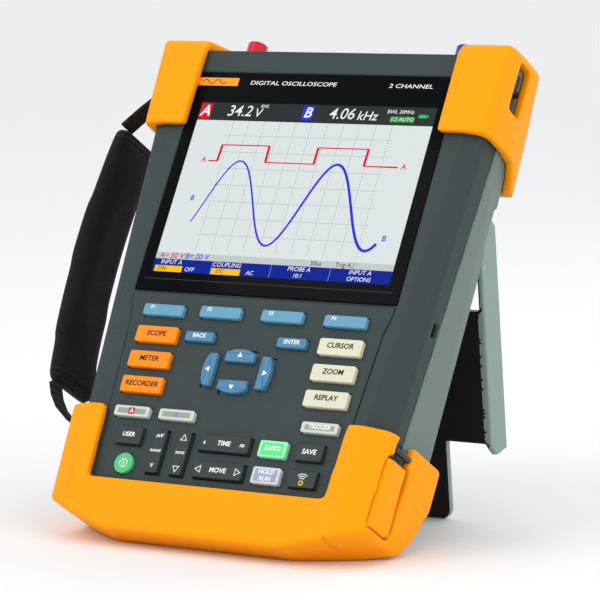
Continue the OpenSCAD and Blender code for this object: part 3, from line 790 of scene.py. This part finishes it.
# each key's words: the words, their height, and X and Z from the key's middle
LABELS = {
    "f1_key": (("F1", 1.8, -6, 1.0),), "f2_key": (("F2", 1.8, -6, 1.0),),
    "f3_key": (("F3", 1.8, -6, 1.0),), "f4_key": (("F4", 1.8, -6, 1.0),),
    "scope_key": (("SCOPE", 2.5, 0, 0.3),), "meter_key": (("METER", 2.5, 0, 0.3),),
    "recorder_key": (("RECORDER", 2.5, 0, 0.3),), "cursor_key": (("CURSOR", 2.5, 0, 0.5),),
    "zoom_key": (("ZOOM", 2.5, 0, 0.5),), "replay_key": (("REPLAY", 2.5, 0, 0.5),),
    "back_key": (("BACK", 2.0, 0, 0.3),), "enter_key": (("ENTER", 2.0, 0, 0.3),),
    "user_key": (("USER", 2.1, 0, 0.4),), "save_key": (("SAVE", 2.3, 0, 0.2),),
    "input_a_key": (("A", 2.0, 0, 0),), "input_b_key": (("B", 2.1, 0, 0),),
    "trigger_key": (("TRIGGER", 2.0, 0, 0.2),), "auto_key": (("AUTO", 2.1, 0, 0.2),),
    "hold_run_key": (("HOLD", 2.1, 0, 1.6), ("RUN", 2.1, 0, -1.6)),
    "range_rocker": (("mV", 1.9, 0, 7.4), ("RANGE", 1.25, -0.2, 0.2), ("V", 1.9, 0, -7)),
    "move_y_rocker": (("MOVE", 1.25, 0, 0.2),), "move_x_rocker": (("MOVE", 2.3, 0, 0),),
    "time_rocker": (("s", 2.0, -10.2, 0), ("TIME", 2.3, 0, 0), ("ns", 2.0, 9.6, 0)),
}
# keys whose words aren't white
PRINTS = {"input_b_key": "print_blue", **dict.fromkeys(
    ("scope_key", "meter_key", "recorder_key", "cursor_key", "zoom_key", "replay_key"), "print_dark")}
# coloured fields on keys: their share of the key's width and height, and their finish
INSETS = {"input_a_key": (0.8, 0.5, "inset_grey"), "input_b_key": (0.8, 0.5, "inset_grey"),
          "trigger_key": (0.8, 0.5, "inset_grey"), "auto_key": (0.8, 0.74, "inset_green"),
          "hold_run_key": (0.8, 0.74, "inset_lilac")}
# quarter turns from pointing up, for the arrow keys and for the arrows on the rockers
ARROWS = {"up_key": 0, "left_key": 1, "down_key": 2, "right_key": 3}
SIGNS = {"move_y_rocker": ((0, 7.2, 0), (0, -7.2, 2)), "move_x_rocker": ((-10, 0, 1), (10, 0, 3))}


class SCOPE_OT_keypad(Operator):
    """Keypad plate, the rubber keys with their lettering and the four rockers"""
    bl_idname = "scope.keypad"
    bl_label = "Keypad"

    def execute(self, context):
        bevelled_copy("keypad_panel", "keypad_plate", "dark_plastic", 0.0003)
        for node in BODY_OF:
            if node.endswith(("_key", "_rocker")):
                self.button(node)
        self.legend()
        return {"FINISHED"}

    def button(self, node):
        whole, front = node_box(node), node_box(node, lambda p: p.y < -0.001)
        low = Vector((front[0].x, whole[0].y, front[0].z))
        high = Vector((front[1].x, whole[1].y - 0.0012, front[1].z))
        name = node.replace("_key", "_button").replace("_rocker", "_rocking_button")
        shade_name = SLOTS[node]
        if node == "power_key":
            cap = rod(name, (low + high) / 2, (high.x - low.x) / 2, high.y - low.y, "Y", shade_name, 64)
        else:
            cap = block(name, low, high, shade_name)
            if node in ARROWS:
                self.arch(cap, ARROWS[node], low, high)
            soften(cap, sizes().key_corner, 4,
                   lambda e: abs((e.verts[0].co - e.verts[1].co).normalized().y) > 0.9)
        face = low.y + 0.0001
        pick(cap, "FACE", lambda f: middle(f).y < face and f.normal.y < -0.9)
        bpy.ops.mesh.inset(thickness=0.00025)
        bpy.ops.transform.translate(value=(0, 0.00004, 0))
        bpy.ops.mesh.inset(thickness=0.00001)
        done()
        pick(cap, "EDGE", lambda e: middle(e).y < face and any(abs(f.normal.y) < 0.3 for f in e.link_faces))
        bpy.ops.mesh.bevel(offset=sizes().key_edge, segments=4, profile=0.5, affect="EDGES",
                           clamp_overlap=True)
        done()
        flange = block(name + "_flange", (whole[0].x, high.y - 0.0004, whole[0].z),
                       (whole[1].x, whole[1].y, whole[1].z), shade_name)
        soften(flange, 0.0004, 2)
        parts = [cap, flange] + self.marks(node, (low + high) / 2, low.y - 0.00002, high - low)
        obj = join(*parts)
        settle(obj, BODY_OF[node], node)

    def arch(self, cap, quarter, low, high):
        """Rounds the edge of an arrow key that points outwards."""
        size = high - low
        radius = max(size.x, size.z) * 1.15
        reach = (size.x if quarter % 2 else size.z) / 2
        away = Vector(((0, 0, 1), (-1, 0, 0), (0, 0, -1), (1, 0, 0))[quarter])
        wheel = rod("arch_cutter", (low + high) / 2 + away * (reach - radius), radius, 0.02, "Y", sides=128)
        modify(cap, "BOOLEAN", operation="INTERSECT", object=wheel, solver="EXACT")
        bpy.data.objects.remove(wheel)

    def marks(self, node, at, y, size):
        marks = [writing(text, height / 1000, at.x + x / 1000, at.z + z / 1000, y,
                         PRINTS.get(node, "print_white"), 0.08, 0.028)
                 for text, height, x, z in LABELS.get(node, ())]
        if node in INSETS:
            across, tall, shade_name = INSETS[node]
            half_w, half_h = size.x * across / 2, size.z * tall / 2
            marks.append(tile("inset", (at.x - half_w, at.x + half_w), (at.z - half_h, at.z + half_h),
                              y + 0.00002, shade_name))
        if node in ARROWS:
            turn = ARROWS[node] * math.pi / 2
            marks.append(polygon(3, 0.0015, at.x, at.z, y, "print_white", turn))
        for x, z, quarter in SIGNS.get(node, ()):
            marks.append(polygon(3, 0.0021, at.x + x / 1000, at.z + z / 1000, y, "print_white",
                                 quarter * math.pi / 2, outline=0.0003))
        if node == "input_a_key":
            marks.insert(0, tile("mark", (at.x - 0.0017, at.x + 0.0017), (at.z - 0.0016, at.z + 0.0016),
                                 y + 0.00001, "print_red"))
        if node == "wireless_key":
            marks += self.wireless(at, y)
        if node == "power_key":
            marks.append(polygon(32, 0.0021, at.x, at.z, y, "print_white", outline=0.00035))
            marks.append(tile("bar", (at.x - 0.00018, at.x + 0.00018), (at.z - 0.0013, at.z + 0.0013),
                              y, "print_white"))
        return marks

    def wireless(self, at, y):
        marks = [polygon(24, 0.0012, at.x, at.z - 0.0019, y, "print_yellow", outline=0.0005)]
        for radius in (0.0015, 0.0025, 0.0035):
            arc = [(at.x + radius * math.sin(a / 8), at.z - 0.0012 + radius * math.cos(a / 8), 1)
                   for a in range(-6, 7)]
            marks.append(ribbon("arc", arc, 0.0004, y, "print_white"))
        return marks

    def legend(self):
        """The faint line under the function keys, across the keypad."""
        low, high = node_box("keypad_panel")
        line = tile("keypad_line", (low.x + 0.006, high.x - 0.006), mm(-23.9, -23.75), low.y - 0.00001,
                    "pocket_black")
        settle(line, "main_body", slot="dark_plastic")


# ---- sockets ----

class SCOPE_OT_sockets(Operator):
    """Input sockets, meter jacks, USB ports and the power socket"""
    bl_idname = "scope.sockets"
    bl_label = "Sockets"

    def execute(self, context):
        for node, name, shade_name in (("input_a_socket", "socket_a", "red_plastic"),
                                       ("input_b_socket", "socket_b", "blue_plastic")):
            self.input_socket(node, name, shade_name)
        self.jacks()
        bevelled_copy("usb_ports", "usb_sockets", "plated_steel", 0.0001)
        bevelled_copy("power_socket", "power_inlet", "black_plastic", 0.0002)
        return {"FINISHED"}

    def turned(self, name, x, y, rings, finish_name, sides=64):
        """A piece turned from (radius, height) rings, closed flat across the first and the last."""
        first = rings[0]
        obj = rod(name, (x, y, first[1] + 0.0005), first[0], 0.001, "Z", finish_name, sides)
        pick(obj, "FACE", lambda f: f.normal.z > 0.9)
        here = first[0], first[1] + 0.001
        for radius, height in rings[1:]:
            bpy.ops.mesh.extrude_region_move()
            if abs(radius - here[0]) > 1e-7:
                ratio = radius / here[0]
                bpy.ops.transform.resize(value=(ratio, ratio, 1), center_override=(x, y, here[1]))
            bpy.ops.transform.translate(value=(0, 0, height - here[1]))
            here = radius, height
        done()
        return obj

    def input_socket(self, node, name, shade_name):
        low, high = node_box(node)
        x, y = (low.x + high.x) / 2, (low.y + high.y) / 2
        top = high.z
        barrel = self.turned(name, x, y, (
            (0.0048, low.z), (0.0048, top - 0.0004), (0.0044, top), (0.0041, top), (0.0041, top - 0.0145)),
            shade_name)
        collar = self.turned(name + "_collar", x, y, (
            (0.0078, top - 0.0185), (0.0078, top - 0.0112), (0.0072, top - 0.0105), (0.0049, top - 0.0105)),
            shade_name, 48)
        pick(collar, "FACE",
             lambda f: abs(f.normal.z) < 0.2 and f.index % 2 == 0 and middle(f).z < top - 0.011)
        bpy.ops.mesh.inset(thickness=0.0002, use_individual=True)
        bpy.ops.transform.shrink_fatten(value=-0.0002)
        done()
        lug = rod(name + "_lug", (x, y, top - 0.005), 0.00095, 0.0116, "X", "plated_steel", 24)
        soften(lug, 0.0002, 2)
        pin = self.turned(name + "_insulator", x, y, (
            (0.0021, top - 0.0145), (0.0021, top - 0.0034), (0.0018, top - 0.0031), (0.0009, top - 0.0031)),
            "print_cream")
        contact = self.turned(name + "_contact", x, y, (
            (0.0008, top - 0.014), (0.0008, top - 0.0032), (0.0005, top - 0.003), (0.0005, top - 0.006)),
            "gold")
        settle(join(barrel, collar, lug, pin, contact), "main_body", node)

    def jacks(self):
        low, high = node_box("meter_jacks")
        y = (low.y + high.y) / 2
        parts = []
        for side, shade_name in ((-1, "black_plastic"), (1, "red_plastic")):
            parts.append(self.turned("test_jacks", side * 0.014, y, (
                (0.005, low.z), (0.005, high.z - 0.0092), (0.007, high.z - 0.009), (0.007, high.z - 0.0005),
                (0.0066, high.z), (0.0034, high.z), (0.0034, high.z - 0.004), (0.0021, high.z - 0.0045),
                (0.0021, low.z + 0.003)), shade_name))
            parts.append(self.turned("jack_contact", side * 0.014, y, (
                (0.00208, low.z + 0.0025), (0.00208, low.z + 0.0036), (0.0016, low.z + 0.0036)), "gold"))
        settle(join(*parts), "main_body", "meter_jacks")


# ---- strap ----

# how far the binding reaches from the pad's ends, and how many frames of cloth make the pad swell
BINDING, CLOTH_FRAMES = 0.0075, 20


class SCOPE_OT_strap(Operator):
    """Padded hand strap with its webbing and bars"""
    bl_idname = "scope.strap"
    bl_label = "Hand strap"

    def execute(self, context):
        self.pad()
        self.webbing()
        # the bars' steel is darkened as painted shade for the notch they sit in
        bevelled_copy("strap_bars", "bars", "dark_steel", 0.0002)
        return {"FINISHED"}

    def pad(self):
        low, high = node_box("strap_pad")
        obj = cast("strap_pad", "strap_cushion", sizes().strap_voxel, 2, "strap_fabric", "binding")
        self.swell(obj)
        modify(obj, "SUBSURF", levels=1, render_levels=1)
        for face in obj.data.polygons:
            face.material_index = int(not low.z + BINDING < face.center.z < high.z - BINDING)
        settle(obj, "main_body", "strap_pad", angle=180)

    def swell(self, obj):
        """Cloth under a little pressure, which wrinkles and rounds the pad."""
        scene = bpy.context.scene
        scene.frame_start, scene.frame_end = 1, CLOTH_FRAMES
        cloth = obj.modifiers.new("cloth", "CLOTH")
        cloth.settings.quality = 5
        cloth.settings.mass = 0.2
        cloth.settings.tension_stiffness = cloth.settings.compression_stiffness = 12
        cloth.settings.shear_stiffness = 8
        cloth.settings.bending_stiffness = 0.8
        cloth.settings.use_pressure = True
        cloth.settings.uniform_pressure_force = 4
        cloth.settings.effector_weights.gravity = 0
        cloth.collision_settings.use_self_collision = False
        rest = [v.co.copy() for v in obj.data.vertices]
        for step in range(1, CLOTH_FRAMES + 1):
            scene.frame_set(step)
        choose(obj)
        bpy.ops.object.modifier_apply(modifier="cloth")
        scene.frame_set(1)
        most = sizes().strap_swell
        for vertex, was in zip(obj.data.vertices, rest):
            moved = vertex.co - was
            if moved.length > most:
                vertex.co = was + moved * (most / moved.length)

    def webbing(self):
        obj = unfaceted("strap_webbing", "strap_band", "webbing")
        modify(obj, "BEVEL", width=0.0004, segments=2, limit_method="ANGLE", angle_limit=math.radians(50))
        modify(obj, "TRIANGULATE", min_vertices=5)
        settle(obj, "main_body", "strap_webbing")


# ---- stand and door ----

class SCOPE_OT_stand(Operator):
    """Tilt stand with its pins, and the battery door with its two locks"""
    bl_idname = "scope.stand"
    bl_label = "Stand and battery door"

    def execute(self, context):
        folded = STAND.inverted()
        flange = node_box("tilt_stand", back=folded)[1].x - 0.0015
        obj = cast("tilt_stand", "stand", 0.0009, 2, "stand_plastic", "stand_lining", back=folded)
        modify(obj, "DECIMATE", ratio=0.4)
        # painted shade: the faces that look toward the case, the plate's front and the flanges' inner sides, get
        # the near-black second finish instead of the stand plastic
        for face in obj.data.polygons:
            out = abs(face.center.x)
            front = face.normal.y < -0.7 and out < flange - 0.0015
            side = face.normal.x * face.center.x < -0.03 * out and out > flange - 0.004
            face.material_index = int(front or side)
        settle(obj, "tilt_stand", "tilt_stand", matrix=STAND)
        bevelled_copy("stand_pins", "hinge_pins", "plain_steel", 0.0002)
        bevelled_copy("battery_door", "battery_cover", "grey_plastic", 0.0005, "battery_door")
        self.ribs()
        for side in ("left", "right"):
            lock = "door_lock_" + side
            bevelled_copy(lock, "cover_lock_" + side, "plain_steel", 0.0002, lock)
        return {"FINISHED"}

    def ribs(self):
        """Five low finger ribs, which the folded stand still clears."""
        high = node_box("battery_door")[1]
        ribs = []
        for i in range(5):
            z = high.z - 0.008 - i * 0.003
            rib = block("cover_ribs", (-0.02, high.y - 0.0002, z), (0.02, high.y + 0.0001, z + 0.0012),
                        "grey_plastic")
            ribs.append(soften(rib, 0.0003, 2))
        settle(join(*ribs), "battery_door", slot="grey_plastic")


class SCOPE_OT_inner(Operator):
    """Finishes for the pieces inside the case that keep their frame meshes"""
    bl_idname = "scope.inner"
    bl_label = "Inner pieces"

    def execute(self, context):
        for node, obj in NODES.items():
            if not obj.hide_render:
                choose(coat(obj, SLOTS[node]))
                bpy.ops.object.shade_smooth_by_angle(angle=math.radians(SMOOTH_ANGLE))
        return {"FINISHED"}


# ---- the stage ----

# area lights: name, place, size and watts
LIGHTS = (("key_light", (-0.6, -1.1, 1.3), 0.9, 6), ("fill_light", (1.3, -0.5, 0.8), 1.0, 4),
          ("rim_light", (0.4, 1.2, 1.2), 0.8, 3))
LIGHT_AIM = Vector((0, 0, 0.1))
CAMERA_AT, CAMERA_LENS = (0.7658, -1.2197, 0.2626), 189.3
CAMERA_RIGHT, CAMERA_UP = Vector((0.8541, 0.5200, -0.0023)), Vector((-0.0546, 0.0941, 0.9941))


class SCOPE_OT_stage(Operator):
    """Floor, soft light and camera"""
    bl_idname = "scope.stage"
    bl_label = "Stage"

    def execute(self, context):
        start()
        bpy.ops.mesh.primitive_plane_add(size=60)
        floor = bpy.context.object
        floor.name = "floor"
        floor.data.materials.append(finish("floor"))
        world = bpy.data.worlds.new("soft_room")
        world.use_nodes = True
        world.node_tree.nodes["Background"].inputs[0].default_value = (1, 1, 1, 1)
        world.node_tree.nodes["Background"].inputs[1].default_value = 1.0
        context.scene.world = world
        for light in LIGHTS:
            self.lamp(*light)
        self.camera(context)
        context.scene.view_settings.view_transform = "Standard"
        return {"FINISHED"}

    def lamp(self, name, at, size, power):
        start()
        bpy.ops.object.light_add(type="AREA", location=at)
        lamp = bpy.context.object
        lamp.name = name
        lamp.data.size = size
        lamp.data.energy = power
        lamp.rotation_euler = (LIGHT_AIM - Vector(at)).to_track_quat("-Z", "Y").to_euler()

    def camera(self, context):
        start()
        bpy.ops.object.camera_add(location=CAMERA_AT)
        camera = bpy.context.object
        back = CAMERA_RIGHT.cross(CAMERA_UP).normalized()
        up = back.cross(CAMERA_RIGHT).normalized()
        camera.rotation_euler = Matrix((CAMERA_RIGHT.normalized(), up, back)).transposed().to_euler()
        camera.data.lens = CAMERA_LENS
        camera.data.sensor_width = 36
        camera.data.clip_start = 0.05
        camera.data.dof.use_dof = False
        context.scene.camera = camera


class SCOPE_PT_panel(Panel):
    """Builds the oscilloscope group by group"""
    bl_idname = "SCOPE_PT_panel"
    bl_label = "Field oscilloscope"
    bl_space_type = "VIEW_3D"
    bl_region_type = "UI"
    bl_category = "Oscilloscope"

    def draw(self, context):
        for group in (context.scene.scope_sizes, context.scene.scope_colours):
            box = self.layout.box()
            for name in group.__annotations__:
                box.prop(group, name)
        for operator in OPERATORS:
            self.layout.operator(operator.bl_idname)


OPERATORS = (SCOPE_OT_shells, SCOPE_OT_rubber, SCOPE_OT_display, SCOPE_OT_keypad, SCOPE_OT_sockets,
             SCOPE_OT_strap, SCOPE_OT_stand, SCOPE_OT_inner, SCOPE_OT_stage)
CLASSES = (ScopeSizes, ScopeColours) + OPERATORS + (SCOPE_PT_panel,)


def register():
    for cls in CLASSES:
        bpy.utils.register_class(cls)
    bpy.types.Scene.scope_sizes = PointerProperty(type=ScopeSizes)
    bpy.types.Scene.scope_colours = PointerProperty(type=ScopeColours)


def unregister():
    del bpy.types.Scene.scope_colours
    del bpy.types.Scene.scope_sizes
    for cls in reversed(CLASSES):
        bpy.utils.unregister_class(cls)


def main():
    register()
    for operator in OPERATORS:
        group, name = operator.bl_idname.split(".")
        getattr(getattr(bpy.ops, group), name)()


if __name__ == "__main__":
    main()
